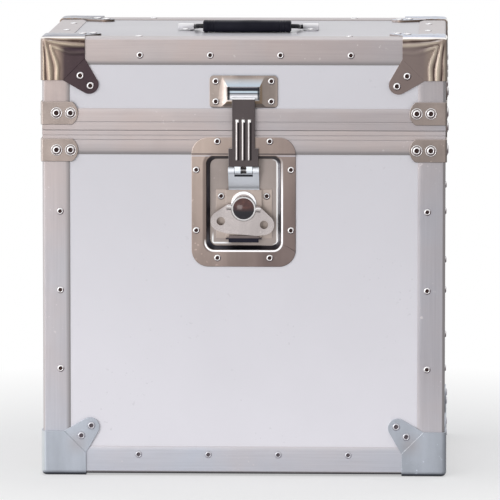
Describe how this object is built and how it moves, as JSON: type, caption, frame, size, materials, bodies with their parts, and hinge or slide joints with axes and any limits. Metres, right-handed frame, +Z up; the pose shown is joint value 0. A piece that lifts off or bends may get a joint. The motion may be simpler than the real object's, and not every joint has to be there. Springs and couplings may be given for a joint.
{
  "type": "lens case",
  "caption": "Tall equipment case with laminated panels in aluminium angles, riveted corner caps, hinged lid, recessed rotary latch with hook, folding handle and foam insert.",
  "frame": {"origin": "on the floor, midway between the four bottom corner caps", "axes": "+Z up, +X to the right seen from the latch side, -Y towards the viewer (latch side), hinges at +Y"},
  "size_m": [0.4056, 0.3342, 0.4506],
  "materials": {
    "laminate": "white laminate on plywood, soft gloss",
    "aluminium": "extruded, satin anodised",
    "cap_steel": "pressed steel, nickel plated",
    "plated_steel": "pressed steel, nickel plated",
    "rivet_steel": "bright rivet heads and pins",
    "nickel": "bright nickel",
    "hook_steel": "grey steel",
    "dark_steel": "polished dome that mirrors a dark room",
    "bail_steel": "black wire",
    "grip": "black moulded grip",
    "foam": "dark open-cell foam"
  },
  "bodies": {
    "base": {"base_back_angle": "aluminium", "base_back_left_angle": "aluminium", "base_back_left_cap": "cap_steel", "base_back_panel": "laminate", "base_back_right_angle": "aluminium", "base_back_right_cap": "cap_steel", "base_back_rim": "aluminium", "base_bottom_panel": "laminate", "base_braces": "cap_steel", "base_front_angle": "aluminium", "base_front_left_angle": "aluminium", "base_front_left_cap": "cap_steel", "base_front_panel": "laminate", "base_front_right_angle": "aluminium", "base_front_right_cap": "cap_steel", "base_front_rim": "aluminium", "base_left_angle": "aluminium", "base_left_panel": "laminate", "base_left_rim": "aluminium", "base_right_angle": "aluminium", "base_right_panel": "laminate", "base_right_rim": "aluminium", "foam_block": "foam", "hinge_base_leaves": "plated_steel", "hinge_pins": "rivet_steel", "hinge_rivets": "rivet_steel", "latch_bridge": "plated_steel", "latch_dish": "plated_steel", "latch_rivets": "rivet_steel"},
    "lid": {"lid_back_angle": "aluminium", "lid_back_panel": "laminate", "lid_back_rim": "aluminium", "lid_braces": "cap_steel", "lid_corner_caps": "cap_steel", "lid_corner_posts": "aluminium", "lid_foam_pad": "foam", "lid_front_angle": "aluminium", "lid_front_panel": "laminate", "lid_front_rim": "aluminium", "lid_left_angle": "aluminium", "lid_left_panel": "laminate", "lid_left_rim": "aluminium", "lid_right_angle": "aluminium", "lid_right_panel": "laminate", "lid_right_rim": "aluminium", "lid_rivets": "rivet_steel", "lid_top_panel": "laminate", "keeper": "plated_steel", "handle_brackets": "plated_steel", "hinge_lid_leaves": "plated_steel"},
    "handle": {"handle_bail": "bail_steel", "handle_grip": "grip"},
    "spindle": {"latch_spindle": "plated_steel", "spindle_dome": "dark_steel"},
    "wing": {"latch_wing": "nickel"},
    "link": {"latch_link": "nickel", "knuckle_pin": "rivet_steel", "hook_spring": "hook_steel"},
    "hook": {"hook": "hook_steel"}
  },
  "joints": [
    {"name": "lid_hinge", "type": "hinge", "parent": "base", "child": "lid", "pos_m": [0, 0.164, 0.347], "axis": [-1, 0, 0], "range_deg": [0, 100]},
    {"name": "handle_fold", "type": "hinge", "parent": "lid", "child": "handle", "pos_m": [0, -0.02012, 0.4416], "axis": [-1, 0, 0], "range_deg": [0, 86]},
    {"name": "spindle_turn", "type": "hinge", "parent": "base", "child": "spindle", "pos_m": [0, -0.16, 0.269], "axis": [0, 1, 0], "range_deg": [0, 180]},
    {"name": "wing_fold", "type": "hinge", "parent": "spindle", "child": "wing", "pos_m": [0, -0.1607, 0.269], "axis": [-0.9966, 0, 0.0819], "range_deg": [0, 90]},
    {"name": "link_slide", "type": "slide", "parent": "base", "child": "link", "axis": [0, 0, 1], "range_m": [0, 0.0095]},
    {"name": "hook_swing", "type": "hinge", "parent": "link", "child": "hook", "pos_m": [0, -0.1618, 0.3074], "axis": [1, 0, 0], "range_deg": [0, 95]}
  ],
  "couplings": [
    {"joint": "link_slide", "follows": "spindle_turn", "m_per_rad": 0.0030234}
  ]
}
